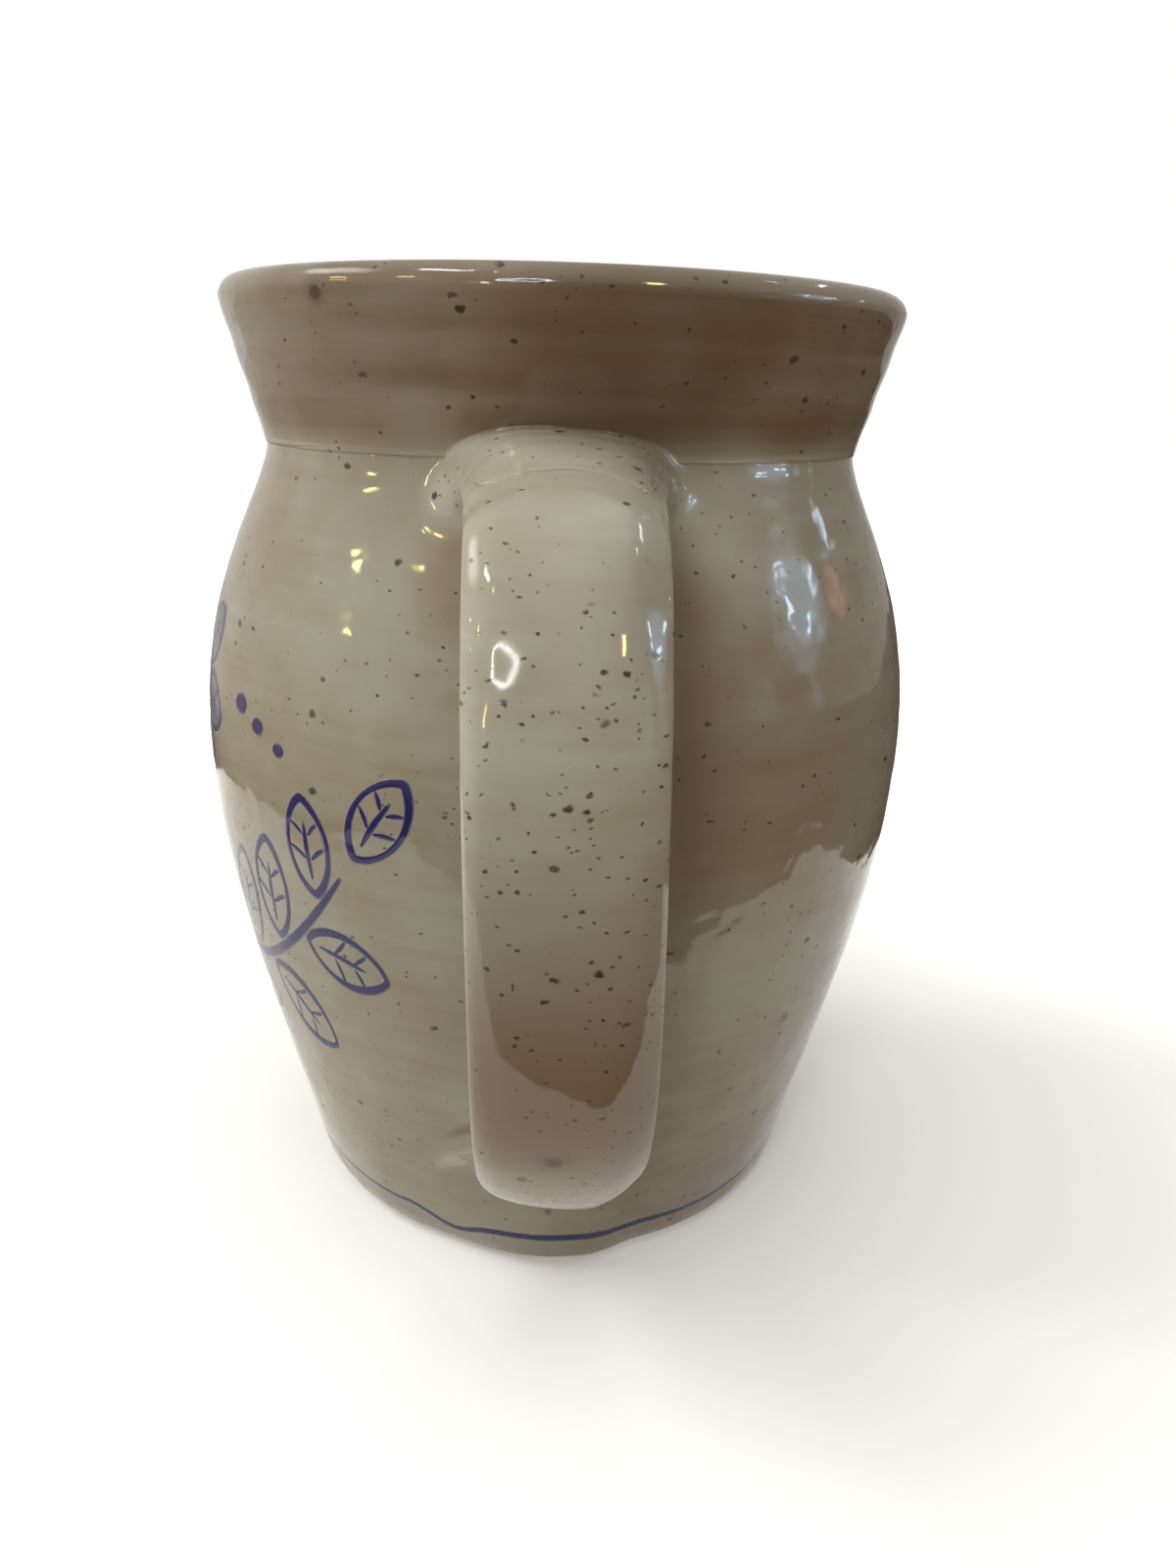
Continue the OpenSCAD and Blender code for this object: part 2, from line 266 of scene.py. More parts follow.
def inside_line(coat):
    """The inside of the wall from the middle of the floor to the seam, set in by a coat."""
    corner_z = FLOOR_T + CORNER_R
    corner_x = np.interp(corner_z, WALL_LINE[:, 1], WALL_LINE[:, 0]) - WALL - CORNER_R
    upper = WALL_LINE[WALL_LINE[:, 1] > corner_z + 1] - (WALL + coat, 0)
    return joined(arc((corner_x, corner_z), CORNER_R - coat, -90, 0, 16), upper)


def underside(radius, psi):
    """Height of the base: its ring stands on the table, and a wire left shallow arcs inside it."""
    x = -radius * np.sin(psi) - WIRE_MIDDLE[0]
    y = -radius * np.cos(psi) - WIRE_MIDDLE[1]
    arcs = WIRE_DEPTH * np.sin(TURN * np.hypot(x, y) / WIRE_PITCH)
    return (BASE_HOLLOW + arcs) * (1 - smooth(radius, FOOT_R - 9, FOOT_R - 5))


def make_body(material):
    cols = 288
    psi = np.arange(cols) * TURN / cols
    base_r = np.linspace(0.8, FOOT_R - 0.4, 76)[:, None] * np.ones(cols)
    swell = 1 + heel_bulge(psi, 0) / FOOT_R * (base_r / FOOT_R) ** 3
    base = around(psi, base_r * swell, underside(base_r, psi))
    r, z = columns(evenly(WALL_LINE, 0.95))
    outside = around(psi, np.where(z < 0.05, r + heel_bulge(psi, z), wall_r(psi, z)), z)
    edge_r = np.linspace(NECK_R - 1, NECK_R - WALL + 1, 4)[:, None]
    edge = around(psi, edge_r, NECK_Z)
    inside = around(psi, *columns(evenly(inside_line(0)[::-1], 5.0)))
    under = (0, 0, underside(0.0, 0.0))
    points, faces = capped_rings([base, outside, edge, inside], cols, under, (0, 0, FLOOR_T))
    wiped = thumb_mark(np.arctan2(-points[:, 0], -points[:, 1]), points[:, 2])
    piece("body_wall", points, faces, "body", "glazed_stoneware", material, wiped=wiped)


def make_lining(material):
    """The poured glaze inside, with the spiral that fingers left in the clay under it."""
    cols = 192
    psi = np.arange(cols) * TURN / cols
    behind = around(psi, *columns(evenly(inside_line(0), 2.5)))
    r, z = columns(evenly(inside_line(LINING_T)[::-1], 1.2))
    spiral = 0.22 * np.sin(TURN * z / 9 + psi) * smooth(z, 12, 30)
    spiral = spiral * (1 - smooth(z, NECK_Z - 12, NECK_Z - 3))
    thin = 0.6 * smooth(z, NECK_Z - 8, NECK_Z)
    wall = around(psi, r + spiral + thin, z)
    floor_top = FLOOR_T + LINING_T
    floor_r = np.linspace(r[-1, 0] - 1, 1.0, 30)[:, None]
    floor_z = floor_top + 0.25 * np.sin(TURN * floor_r / 8 + psi) * smooth(floor_r, 2, 12)
    floor_z = mix(floor_z, floor_top, smooth(floor_r, 30, 38))
    floor = around(psi, floor_r, floor_z)
    points, faces = capped_rings([behind, wall, floor], cols, (0, 0, FLOOR_T), (0, 0, floor_top))
    piece("inner_lining", points, faces, "inner_glaze", "lining_glaze", material)


# The collar and its spout

COLLAR_H = HEIGHT - NECK_Z
LIP_Z = HEIGHT - LIP_R
COLLAR_FOOT_Z = NECK_Z + 0.2
COLLAR_OUTER = [
    (NECK_R + 0.45, COLLAR_FOOT_Z),
    (NECK_R + 1.3, NECK_Z + 4.6),
    (RIM_R - 1, NECK_Z + 21),
    (RIM_R, LIP_Z),
]
COLLAR_INNER = [
    (RIM_R - 2 * LIP_R, LIP_Z),
    (RIM_R - 2 * LIP_R - 1, NECK_Z + 21),
    (NECK_R - WALL + 1.3, NECK_Z + 4.6),
    (NECK_R - WALL, NECK_Z),
]
BEAD_POINTS = 8
SEAM_BEAD = arc((NECK_R - 0.35, NECK_Z + 0.1), 0.8, -100, 0, BEAD_POINTS)
COLLAR_LINE = joined(SEAM_BEAD, bezier(COLLAR_OUTER, 80))

# Where the spout's sides are pinched in and how wide, as shares of its half angle
PINCH_AT = 2.2
PINCH_WIDTH = 0.9

# Half of how far the lip is out of level
RIM_DIP = 0.25


def spout_shift(psi):
    """How far the spout is pulled out of the round lip, and its sides pinched in."""
    turn = np.abs((psi % TURN) - math.pi)
    pull = np.exp(-((turn / SPOUT_HALF_ANGLE) ** 1.6))
    press = hump(turn - PINCH_AT * SPOUT_HALF_ANGLE, PINCH_WIDTH * SPOUT_HALF_ANGLE)
    return SPOUT_REACH * pull - SPOUT_PINCH * press


def collar_waver(psi, z):
    """Throwing rings and a slight out-of-round, none of it at the seam."""
    rings = 0.09 * np.sin(TURN * z / 8.5 + 0.7 * np.sin(psi + 1))
    lobes = 0.2 * np.sin(2 * psi + 1.1 + z / 60)
    return smooth(z, NECK_Z + 1, NECK_Z + 8) * (rings + lobes)


def collar_points(psi, line):
    """A line of radius and height turned round the axis, with the spout pulled out of it."""
    r, z = columns(line)
    share = np.clip((z - NECK_Z) / COLLAR_H, 0, 1) ** 2
    r = r + share * spout_shift(psi) + collar_waver(psi, z)
    return around(psi, r, z + RIM_DIP * share * np.sin(psi + 0.4) - RIM_DIP * share)


def make_collar(material):
    cols = 320
    psi = np.arange(cols) * TURN / cols
    lip = arc((RIM_R - LIP_R, LIP_Z), LIP_R, 0, 180, 22)
    section = joined(evenly(COLLAR_LINE, 0.8), lip, evenly(bezier(COLLAR_INNER, 60), 1.1))
    points = collar_points(psi, section).reshape(-1, 3)
    faces = [grid_faces(len(section), cols, close_rows=True)]
    piece("collar_rim", points, faces, "collar", "glazed_stoneware", material)


def outer_r(psi, z):
    """Radius of the outside of body and collar, away from the spout."""
    above_bead = COLLAR_LINE[BEAD_POINTS:]
    collar = np.interp(z, above_bead[:, 1], above_bead[:, 0]) + collar_waver(psi, z)
    return np.where(z > COLLAR_FOOT_Z, collar, wall_r(psi, z))


# The strap handle and the clay at its ends

STRAP_SIDES = 96

# Makes up for what the cut corners take off a section
SECTION_FILL = 1.02
UPPER_PATH = [
    (NECK_R - WALL + 1.5, ROOT_Z),
    (STRAP_OUT - 19.5, ROOT_Z - 1.5),
    (STRAP_OUT + 1.5, ROOT_Z - 6.5),
    (STRAP_OUT, STRAP_OUT_Z),
]
LOWER_PATH = [
    (STRAP_OUT, STRAP_OUT_Z),
    (STRAP_OUT, STRAP_OUT_Z - 51),
    (STRAP_OUT - 9.5, TAIL_Z + 14),
    (53.0, TAIL_Z),
]

# Corners of the strap's section, as shares of its half width and half thickness, from the right edge
# over the face that the palm holds. That face is a flat panel between a narrow bevel on the left
# and a broad one on the right; the ends are rounder.
ROOT_CORNERS = [
    (1.0, -0.5), (1.0, 0.1), (0.62, 0.85), (0.0, 1.1), (-0.62, 0.9), (-1.0, 0.2),
    (-1.0, -0.5), (-0.75, -1.0), (0.0, -1.05), (0.75, -1.0),
]
UPPER_CORNERS = [
    (1.0, -0.25), (1.0, 0.12), (0.62, 1.0), (0.0, 1.03), (-0.74, 1.0), (-1.0, 0.6),
    (-1.0, -0.3), (-0.8, -0.95), (0.0, -1.0), (0.8, -0.95),
]
LOWER_CORNERS = [
    (1.0, -0.35), (1.0, -0.15), (0.58, 0.82), (0.2, 1.08), (-0.62, 0.84), (-1.0, 0.2),
    (-1.0, -0.35), (-0.8, -0.95), (0.0, -1.0), (0.8, -0.95),
]


def cut_corners(corners, share=0.25):
    """A closed outline with each corner cut off at a share of its sides."""
    points = np.array(corners, float)
    after = np.roll(points, -1, axis=0)
    return np.stack([mix(points, after, share), mix(points, after, 1 - share)], axis=1).reshape(-1, 2)


def strap_section(share, flare):
    """Outline of the strap, across and through, at a share of its length."""
    half_w = mix(*STRAP_HALF_W, smooth(share, 0.6, 1)) + STRAP_FLARE * flare
    bow = STRAP_BOW * smooth(share, 0.35, 0.65) * (1 - 0.5 * smooth(share, 0.7, 1))
    lean = mix(*STRAP_LEAN, share) + bow
    upper = cut_corners(UPPER_CORNERS, mix(0.15, 0.25, smooth(share, 0.24, 0.31)))
    outline = mix(upper, cut_corners(LOWER_CORNERS), smooth(share, 0.35, 0.85))
    outline = mix(outline, cut_corners(ROOT_CORNERS), smooth(flare, 0.035, 0.12))
    for _ in range(3):
        outline = cut_corners(outline)
    outline = SECTION_FILL * outline * (half_w, mix(*STRAP_HALF_T, share))
    outline = evenly(np.vstack([outline, outline[:1]]), 0.05)
    picked = np.linspace(0, len(outline) - 1, STRAP_SIDES, endpoint=False).astype(int)
    return outline[picked].T + [[lean], [0]]


def strap_surface(step):
    """Rings of points along the strap, from inside the neck to inside the foot."""
    path = evenly(joined(bezier(UPPER_PATH, 200), bezier(LOWER_PATH, 200)), step)
    along = np.gradient(path, axis=0)
    along /= np.linalg.norm(along, axis=1)[:, None]
    rings = []
    for i, (centre, ahead) in enumerate(zip(path, along)):
        flare = max(0, 1 - i * step / FLARE_LENGTH) ** 3
        across, through = strap_section(i / (len(path) - 1), flare)
        r = centre[0] - through * ahead[1]
        z = centre[1] + through * ahead[0]
        rings.append(np.column_stack([across, -r, z]))
    return np.array(rings)


def make_strap(material):
    rings = strap_surface(1.2)
    points = rings.reshape(-1, 3)
    faces = tube_faces(len(rings), STRAP_SIDES)
    tone = np.ones(len(points))
    piece("handle_strap", points, faces, "handle", "glazed_stoneware", material, strap=tone)


# Edges of the clay at the strap's ends, as steps outwards and depths under what it meets: one that
# runs out flat, and one for clay that is fully proud
FLAT_EDGE = np.array([(0.8, 0.05), (1.6, 0.35), (2.6, 1.0)])
PROUD_EDGE = np.array([(0.15, -0.12), (0.3, 0.05), (0.8, 0.6)])
FULLY_PROUD = 0.25

# How far that clay's hollow curve keeps to wall and strap, as a share of its reach on them
CURVE_PULL = 0.7


def wall_beside(point, out, distance, sunk):
    """Point of the wall at a distance from another one, going out in the plane that faces the handle."""
    x = point[0] + distance * out[0]
    z = point[2] + distance * out[2]
    turn = math.asin(-x / outer_r(0.0, z))
    return around(turn, outer_r(turn, z) - sunk, z)


def luted_clay(name, rings, angles, spread, reach, proud, node, material):
    """Clay wiped round an end of the strap: it runs from the wall up onto the strap in a hollow curve.

    rings are the strap's, starting inside the wall. At each point of the section, its angle says
    which way the clay is wiped, spread how far over the wall, reach how far along the strap, and proud
    how high its edge stands on the strap. Elsewhere the edges dip gently under the clay that they meet.
    """
    psi = np.arctan2(-rings[..., 0], -rings[..., 1])
    clear = np.hypot(rings[..., 0], rings[..., 1]) - outer_r(psi, rings[..., 2])
    middle = rings.mean(axis=1)
    step = np.linalg.norm(middle[1] - middle[0])
    rows = 48
    lines = []
    for k in range(STRAP_SIDES):
        first = int(np.argmax(clear[:, k] > 0))
        share = clear[first - 1, k] / (clear[first - 1, k] - clear[first, k])
        corner = mix(rings[first - 1, k], rings[first, k], share)
        out = (math.cos(angles[k]), 0, math.sin(angles[k]))

        def on_strap(distance, sunk=0.0):
            at = min(first + distance / step, len(rings) - 2)
            low = int(at)
            inward = middle[low] - rings[low, k]
            return mix(rings[low, k], rings[low + 1, k], at - low) + sunk * inward / np.linalg.norm(inward)

        def on_wall(distance, sunk=0.0):
            return wall_beside(corner, out, distance, sunk)

        s, r, p = spread[k], reach[k], proud[k]
        skin = bezier([
            on_wall(s),
            on_wall(s) + CURVE_PULL * s * (on_wall(s - 0.5) - on_wall(s + 0.5)),
            on_strap(r, -p) + CURVE_PULL * r * (on_strap(r - 0.5) - on_strap(r + 0.5)),
            on_strap(r, -p),
        ], rows)
        strap_edge = mix(FLAT_EDGE, PROUD_EDGE, min(1, p / FULLY_PROUD))
        below_wall = [on_wall(s + more, sunk) for more, sunk in FLAT_EDGE[::-1]]
        below_strap = [on_strap(r + more, sunk) for more, sunk in strap_edge]
        buried = mix(corner, middle[first], 0.3) + (0, 2.5, 0)
        lines.append(np.vstack([below_wall, skin, below_strap, buried[None]]))
    points = np.array(lines).transpose(1, 0, 2)
    row = np.arange(len(points))[:, None]
    first_row = len(FLAT_EDGE)
    tone = smooth(row, first_row, first_row + 0.35 * rows) * np.ones(STRAP_SIDES)
    faces = [grid_faces(len(points), STRAP_SIDES, close_rows=True)]
    piece(name, points.reshape(-1, 3), faces, node, "glazed_stoneware", material, strap=tone)


def section_angles():
    """Directions of the section's points from its middle, 0 being the right edge and a quarter the face."""
    across, through = strap_section(0.0, 0.0)
    return np.arctan2(through / STRAP_HALF_T[0], across / STRAP_HALF_W[0])


def make_root(material):
    """The clay at the neck: it spreads furthest below the strap and reaches furthest along its face."""
    a = section_angles()
    beside = np.cos(a) ** 2
    below = smooth(-np.sin(a), -0.3, 0.6)
    on_face = smooth(np.sin(a), 0.2, 0.7)
    spread = 1.9 + 1.5 * beside + 7.0 * below + 0.2 * np.sin(3 * a + 1)
    reach = 9.0 + 5.0 * beside + 12.0 * on_face
    proud = 0.12 + 0.18 * smooth(np.sin(a), 0.3, 0.8) * (1 - 0.6 * smooth(np.cos(a), -0.2, 0.6))
    luted_clay("root_clay", strap_surface(0.5), a, spread, reach, proud, "root_coil", material)


def make_tail(material):
    """The clay at the foot, smeared a little further on the left."""
    a = section_angles()
    smear = 2.5 * hump(np.abs(a) - math.pi, 0.5)
    spread = 2.6 + 0.5 * np.sin(2 * a + 0.5) + smear
    reach = np.full(len(a), 6.0)
    proud = np.zeros(len(a))
    luted_clay("tail_clay", strap_surface(0.5)[::-1], a, spread, reach, proud, "tail_coil", material)


# Brushed cobalt

# Its strips are drawn on the wall unrolled at the belly. A point there is a distance from the sprig's
# middle, positive towards the handle, and a height.
WALL_ROUND = TURN * BELLY_R

# Section of a brushed line, with two last points sunk in the wall: shares of its half width and lift,
# and the ink there
STRIP_ACROSS = np.array([-1, -0.82, -0.55, -0.2, 0.2, 0.55, 0.82, 1, 0.5, -0.5])
STRIP_LIFT = np.array([-0.05, 0.3, 0.8, 1, 1, 0.8, 0.3, -0.05, -4, -4])
STRIP_INK = np.array([0, 0.45, 0.95, 1, 1, 0.95, 0.45, 0, 0, 0])


def strip(points, half_width, ink, lift=0.045, closed=False):
    """Points, faces and ink of one brushed line, as a closed lens that is sunk in the wall at its edges."""
    points = np.asarray(points, float)
    count = len(points)
    if closed:
        tangent = np.roll(points, -1, axis=0) - np.roll(points, 1, axis=0)
        tangent[:, 0] = (tangent[:, 0] + WALL_ROUND / 2) % WALL_ROUND - WALL_ROUND / 2
    else:
        tangent = np.gradient(points, axis=0)
    tangent /= np.linalg.norm(tangent, axis=1)[:, None]
    side = np.column_stack([-tangent[:, 1], tangent[:, 0]])
    half_width = np.broadcast_to(half_width, count)
    ink = np.broadcast_to(ink, count)
    flat = points[:, None, :] + side[:, None, :] * (STRIP_ACROSS[None, :] * half_width[:, None])[..., None]
    psi = SPRIG_TURN - flat[..., 0] / BELLY_R
    z = flat[..., 1]
    made = around(psi, wall_r(psi, z) + lift * STRIP_LIFT, z)
    cols = len(STRIP_ACROSS)
    faces = [grid_faces(count, cols, close_rows=True)] if closed else tube_faces(count, cols)
    return made.reshape(-1, 3), faces, (ink[:, None] * STRIP_INK).reshape(-1)


def joined_strips(strips):
    """Points, faces and ink of all strips together, none of them inside out."""
    points = []
    inks = []
    by_size = {}
    total = 0
    for made, faces, ink in strips:
        if signed_volume(made - made.mean(axis=0), faces) < 0:
            faces = [f[:, ::-1] for f in faces]
        for f in faces:
            by_size.setdefault(f.shape[1], []).append(f + total)
        points.append(made)
        inks.append(ink)
        total += len(made)
    return np.vstack(points), [np.vstack(f) for f in by_size.values()], np.concatenate(inks)


def make_band(material):
    """The line round the heel, which steps up on the left of the handle after a short dip."""
    count = 900
    turn = np.arange(count) * TURN / count
    side = from_handle(turn)
    step_up = BAND_STEP * (smooth(side, 0.42, 0.58) - smooth(side, 0.9, 1.8))
    dip = BAND_STEP * hump(side - 0.37, 0.09)
    z = BAND_Z + step_up - dip + 0.3 * np.sin(turn * 5 + 1.3)
    half = 0.62 + 0.16 * (1 - smooth(np.abs(side), 0.35, 0.6)) + 0.1 * np.sin(turn * 3 + 2)
    ink = 0.95 + 0.1 * np.sin(turn * 4 + 0.9)
    points = np.column_stack([(SPRIG_TURN - turn) * BELLY_R, z])
    made, faces, inks = joined_strips([strip(points, half, ink, closed=True)])
    piece("heel_band", made, faces, "cobalt_band", "cobalt_slip", material, cobalt=inks)


def turned(points, angle):
    c = math.cos(angle)
    s = math.sin(angle)
    return points @ np.array([[c, s], [-s, c]])


def brush_width(count, width):
    """A line that swells from a fine start and runs out again."""
    share = np.linspace(0, 1, count)
    return width / 2 * (0.25 + 0.75 * np.sin(math.pi * np.clip(share * 0.96 + 0.02, 0, 1)) ** 0.6)


def brushed_line(points, width, ink=1.0):
    fine = evenly(np.asarray(points, float), 0.8)
    return strip(fine, brush_width(len(fine), width), ink)


def brushed_dot(at, radius):
    share = np.linspace(-0.985, 0.985, 13)
    points = np.column_stack([at[0] + radius * share, np.full(len(share), at[1])])
    return strip(points, radius * np.sqrt(1 - share ** 2), 0.95)


# How pointed leaves and petals are, and the ink of the wash inside them
LEAF_POINT = 0.45
LEAF_WASH = 0.06
PETAL_WASH = 0.45


def leaf_outline(length, width):
    a = np.linspace(0, TURN, 64, endpoint=False)
    s = np.sin(a)
    return np.column_stack([length / 2 * (1 - np.cos(a)), width / 2 * s * np.abs(s) ** LEAF_POINT])


def leaf_half(length, width, x):
    return width / 2 * (1 - (1 - 2 * x / length) ** 2) ** ((1 + LEAF_POINT) / 2)


def brushed_leaf(at, angle, length, width, veins, wash):
    """Strips of a leaf: a pale wash, an outline, a midrib and veins that leave bare clay between."""
    def place(points):
        return np.asarray(at) + turned(np.asarray(points, float), angle)

    x = np.linspace(0.03 * length, 0.97 * length, 26)
    strips = [strip(place(np.column_stack([x, 0 * x])), leaf_half(length, width, x), wash, lift=0.02)]
    outline = leaf_outline(length, width)
    pressure = 0.8 + 0.2 * np.sin(np.linspace(0, 2 * TURN, len(outline), endpoint=False) + angle)
    strips.append(strip(place(outline), 0.55 * LINE_W * pressure, 1.0, closed=True))
    midrib = place([(0.16 * length, 0), (0.46 * length, 0.3), (0.76 * length, 0)])
    strips.append(brushed_line(midrib, 0.8 * LINE_W))
    for side in (-1, 1):
        for v in range(1, veins + 1):
            start = np.array([length * (0.12 + 0.5 * v / veins), side * 0.3 * LINE_W])
            end_x = start[0] + 0.13 * length
            end = np.array([end_x, side * (leaf_half(length, width, end_x) - 0.3 * LINE_W)])
            vein = place([start, mix(start, end, 0.5) + (0.2, 0), end])
            strips.append(brushed_line(vein, 0.6 * LINE_W, 0.95))
    return strips


def quadratic(points, t):
    a, b, c = (np.array(p, float) for p in points)
    t = np.asarray(t, float)[..., None]
    return (1 - t) ** 2 * a + 2 * (1 - t) * t * b + t ** 2 * c


# The sprig: the curves of its stem and branches, the width of their lines, and the parts of its flower
STEM_FOOT = (-3.0, 46.0)
STEM_CURVE = ((0, FLOWER_Z - 19), (5, 66), STEM_FOOT)
BRANCH_CURVE = ((-2, 56), (36, 52), (62, 88))
STEM_W = 1.25 * LINE_W
EYE_R = 2.6
RING_R = 5
PETALS = 7
PETAL_START = 7.0
PETAL_L = 15.5
PETAL_W = 24 * math.sin(math.pi / PETALS)
BRANCH_LEAVES = 5
BERRIES = 3


def branch_point(t, side):
    """Point at a share of a branch, on the side of the handle (1) or on the other (-1)."""
    return quadratic(BRANCH_CURVE, t) * (side, 1)


def branch_angle(t, side):
    d = branch_point(t + 0.02, side) - branch_point(t - 0.02, side)
    return math.atan2(d[1], d[0])


def flower_strips():
    middle = np.array([0, FLOWER_Z])
    strips = [brushed_dot(middle, EYE_R)]
    a = np.linspace(0, TURN, 40, endpoint=False)
    ring = middle + RING_R * np.column_stack([np.cos(a), np.sin(a)])
    strips.append(strip(ring, 0.75, 0.95, closed=True))
    for k in range(PETALS):
        angle = TURN / 4 + k * TURN / PETALS
        at = middle + turned(np.array([PETAL_START, 0.0]), angle)
        strips += brushed_leaf(at, angle, PETAL_L, PETAL_W, 1, PETAL_WASH)
    return strips


def stem_strips():
    strips = [brushed_line(quadratic(STEM_CURVE, np.linspace(0, 1, 30)), STEM_W)]
    for side, degrees in ((1, 8), (-1, 172)):
        at = np.array(STEM_FOOT) + (side * 2.5, -1)
        strips += brushed_leaf(at, math.radians(degrees), LEAF_L + 2, LEAF_W - 2, 2, LEAF_WASH)
    return strips


def branch_strips(side):
    """A branch with leaves on alternate sides, one at its tip, and a row of berries above it."""
    strips = [brushed_line(branch_point(np.linspace(0.05, 0.96, 40), side), STEM_W)]
    for k in range(BRANCH_LEAVES):
        share = k / BRANCH_LEAVES
        t = 0.3 + 0.68 * share
        up = 1 if k % 2 == 0 else -1
        angle = branch_angle(t, side) + side * up * math.radians(60 - 14 * share)
        at = branch_point(t, side) + turned(np.array([2.8, 0.0]), angle)
        strips += brushed_leaf(at, angle, LEAF_L - 6 * share, LEAF_W - 2.5 * share, 2, LEAF_WASH)
    angle = branch_angle(1, side)
    at = branch_point(1, side) + turned(np.array([2.5, 0.0]), angle)
    strips += brushed_leaf(at, angle, LEAF_L - 5, LEAF_W - 2, 2, LEAF_WASH)
    for k in range(BERRIES):
        strips.append(brushed_dot((side * (33 + 6.5 * k), 112 - 3 * k), 2.3 - 0.35 * k))
    return strips


def make_sprig(material):
    strips = flower_strips() + stem_strips() + branch_strips(1) + branch_strips(-1)
    made, faces, inks = joined_strips(strips)
    piece("side_sprig", made, faces, "cobalt_sprig", "cobalt_slip", material, cobalt=inks)


# Materials

CLAY_GREY = (0.318, 0.311, 0.246, 1)
CLAY_WARM = (0.255, 0.212, 0.140, 1)
# Colour of painted light: a painted highlight along the seam and on the thumb's ridge, the root's shadow
# lightened, and a painted reflection low on the collar
PAINTED_LIGHT_CLAY = (0.440, 0.420, 0.345, 1)
# Colours of painted shade: beside and under the strap, under the collar, in the thumb's crease and on the
# collar away from the light
PAINTED_SHADE_CLAY = (0.215, 0.155, 0.100, 1)
PAINTED_SHADE_COLLAR = (0.105, 0.068, 0.038, 1)
# The strap's clay in lighter tones than the body's: painted light on the strap, which stands out into the
# light
PAINTED_LIGHT_STRAP_GREY = (0.426, 0.434, 0.374, 1)
PAINTED_LIGHT_STRAP_WARM = (0.352, 0.326, 0.248, 1)
# Painted shade on the strap: its lower part, which faces down, and its upper right bevel, which faces away
# from the light
PAINTED_SHADE_STRAP = (0.168, 0.120, 0.077, 1)
COLLAR_BROWN = (0.158, 0.106, 0.064, 1)
BARE_CLAY = (0.400, 0.320, 0.230, 1)
SPECK_DARK = (0.036, 0.025, 0.013, 1)
SPECK_RUST = (0.050, 0.016, 0.004, 1)
COBALT_WASH = (0.105, 0.125, 0.185, 1)
COBALT_DARK = (0.018, 0.014, 0.105, 1)

# Heights in metres over which a tone or the strap's painted shade begins or ends, and how far from the seam
# a painted highlight makes the clay pale
COLLAR_FROM = (NECK_Z * MM, (NECK_Z + 4.5) * MM)
LIP_FROM = (0.1812, 0.1837)
ELBOW_FROM = (0.149, 0.155)
ELBOW_TO = (0.156, 0.160)
DARK_STRAP_FROM = (0.128, 0.065)
DARK_STRAP_TO = (0.042, 0.062)
BARE_TO = (0.0004, 0.0009)
SEAM_HIGHLIGHT_REACH = (0.0003, 0.0010)

# Middle of the clay at the strap's upper end, which is wiped in fine lines across, in metres
ROOT_MIDDLE = (0, -0.070, 0.158)

# Patches of painted shade and painted light: painted shade beside the strap's edges, under the collar, on
# the collar's sides and on the strap's upper right bevel, painted light where the root's shadow falls and a
# painted reflection low on the collar. Place and reach in metres, the factor by which differences of height
# count, share and colour
PAINTED_SHADE_AND_LIGHT = (
    # painted shade of the strap on the wall to its right
    ((0.030, -0.064, 0.108), 0.046, 1.0, 0.60, PAINTED_SHADE_CLAY),
    ((0.017, -0.068, 0.122), 0.011, 0.25, 0.50, PAINTED_SHADE_CLAY),
    ((0.020, -0.062, 0.1365), 0.013, 1.4, 0.55, PAINTED_SHADE_CLAY),
    # painted shade under the collar on the left, and at the strap's left edge
    ((-0.031, -0.050, 0.152), 0.020, 1.0, 0.25, PAINTED_SHADE_CLAY),
    ((-0.018, -0.062, 0.138), 0.011, 0.7, 0.55, PAINTED_SHADE_CLAY),
    # painted light where the root's shadow falls
    ((0.028, -0.054, 0.146), 0.020, 1.0, 0.40, PAINTED_LIGHT_CLAY),
    # painted shade on the collar's right and lower left
    ((0.013, -0.063, 0.173), 0.030, 1.0, 0.50, PAINTED_SHADE_COLLAR),
    ((-0.034, -0.055, 0.172), 0.028, 1.0, 0.20, PAINTED_SHADE_COLLAR),
    # painted reflection low on the collar, and painted shade on the strap's upper right bevel
    ((-0.023, -0.054, 0.1635), 0.010, 1.6, 0.18, PAINTED_LIGHT_CLAY),
    ((0.015, -0.099, 0.142), 0.018, 1.0, 0.40, PAINTED_SHADE_STRAP),
)


